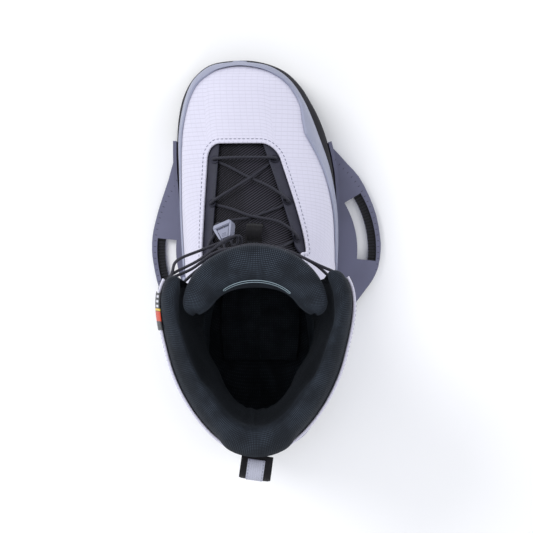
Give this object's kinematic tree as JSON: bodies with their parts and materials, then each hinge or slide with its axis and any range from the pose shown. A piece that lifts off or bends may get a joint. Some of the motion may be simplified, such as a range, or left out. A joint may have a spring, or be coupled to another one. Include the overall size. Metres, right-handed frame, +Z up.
{
  "type": "wakeboard boot",
  "caption": "Laced high boot fixed to a flat mounting chassis with arc slots, padded collar and tongue, lace lock and heel pull loop.",
  "frame": {"origin": "centre of the circle of the two arc slots, on the chassis face that lies on the board", "axes": "+Y towards the toe, +X towards the outer side of the foot, +Z up the leg"},
  "size_m": [0.1816, 0.3116, 0.2402],
  "materials": {
    "nylon": "moulded grey nylon, fine grain",
    "screw_steel": "black coated steel",
    "nut_steel": "zinc plated",
    "foam": "black moulded foam",
    "board_fibre": "pressed fibre board",
    "footbed_foam": "fabric faced foam",
    "ripstop": "white coated ripstop, satin",
    "rand_rubber": "light grey moulded rubber",
    "stiffener": "thermoformed sheet",
    "stay_synthetic": "black coated synthetic leather",
    "eyelet_metal": "black coated, satin",
    "ballistic": "black ribbed woven nylon",
    "webbing": "black webbing",
    "webbing_light": "light grey webbing",
    "lace_cord": "round braided cord",
    "lock_plastic": "light grey moulded plastic",
    "button_plastic": "grey moulded plastic",
    "spring_steel": "bright",
    "liner_foam": "foam with a brushed lining",
    "collar_mesh": "dark dotted mesh over foam",
    "binding_tape": "black binding tape",
    "stud_metal": "dark coated",
    "woven_label": "woven label with a pattern of blocks"
  },
  "bodies": {
    "boot": {"chassis": "nylon", "chassis_screws": "screw_steel", "tee_nuts": "nut_steel", "toe_pad": "foam", "heel_pad": "foam", "midsole": "foam", "lasting_board": "board_fibre", "footbed": "footbed_foam", "vamp": "ripstop", "toe_rand": "rand_rubber", "heel_rand": "rand_rubber", "toe_stiffener": "stiffener", "heel_counter": "stiffener", "eyestay_medial": "stay_synthetic", "eyestay_lateral": "stay_synthetic", "lace_eyelets": "eyelet_metal", "lower_tongue": "ballistic", "tongue_keeper": "webbing", "lower_lace": "lace_cord", "liner_foot": "liner_foam", "shell_flex_zone": "ripstop", "liner_flex_zone": "liner_foam", "tongue_flex_zone": "ballistic"},
    "cuff": {"cuff": "ripstop", "cuff_binding": "binding_tape", "liner_collar": "collar_mesh", "lace_studs_medial": "stud_metal", "lace_studs_lateral": "stud_metal", "side_tag": "woven_label", "upper_lace": "lace_cord"},
    "tongue": {"upper_tongue": "collar_mesh"},
    "heel_loop": {"heel_loop": "webbing", "heel_loop_stripe": "webbing_light"},
    "lock": {"lower_lock_body": "lock_plastic", "lower_lock_spring": "spring_steel"},
    "lock_button": {"lower_lock_button": "button_plastic"}
  },
  "joints": [
    {"name": "cuff_flex", "type": "hinge", "parent": "boot", "child": "cuff", "pos_m": [-0.005, -0.08, 0.1], "axis": [-1, 0, 0], "range_deg": [-4, 10], "stiffness_Nm_per_rad": 8, "deforming": ["shell_flex_zone", "liner_flex_zone", "tongue_flex_zone", "lower_lace"]},
    {"name": "tongue_fold", "type": "hinge", "parent": "cuff", "child": "tongue", "pos_m": [-0.002, -0.012, 0.152], "axis": [-1, 0, 0], "range_deg": [0, 22], "stiffness_Nm_per_rad": 0.8, "deforming": ["upper_lace"]},
    {"name": "lock_slide", "type": "slide", "parent": "boot", "child": "lock", "axis": [0.18, -0.8425, 0.5077], "range_m": [0, 0.005]},
    {"name": "lock_press", "type": "slide", "parent": "lock", "child": "lock_button", "axis": [-0.18, 0.8425, -0.5077], "range_m": [0, 0.0012], "stiffness_N_per_m": 100, "deforming": ["lower_lock_spring"]},
    {"name": "heel_loop_swing", "type": "hinge", "parent": "cuff", "child": "heel_loop", "pos_m": [-0.0066, -0.1472, 0.193], "axis": [-1, 0, 0], "range_deg": [-30, 30]}
  ]
}
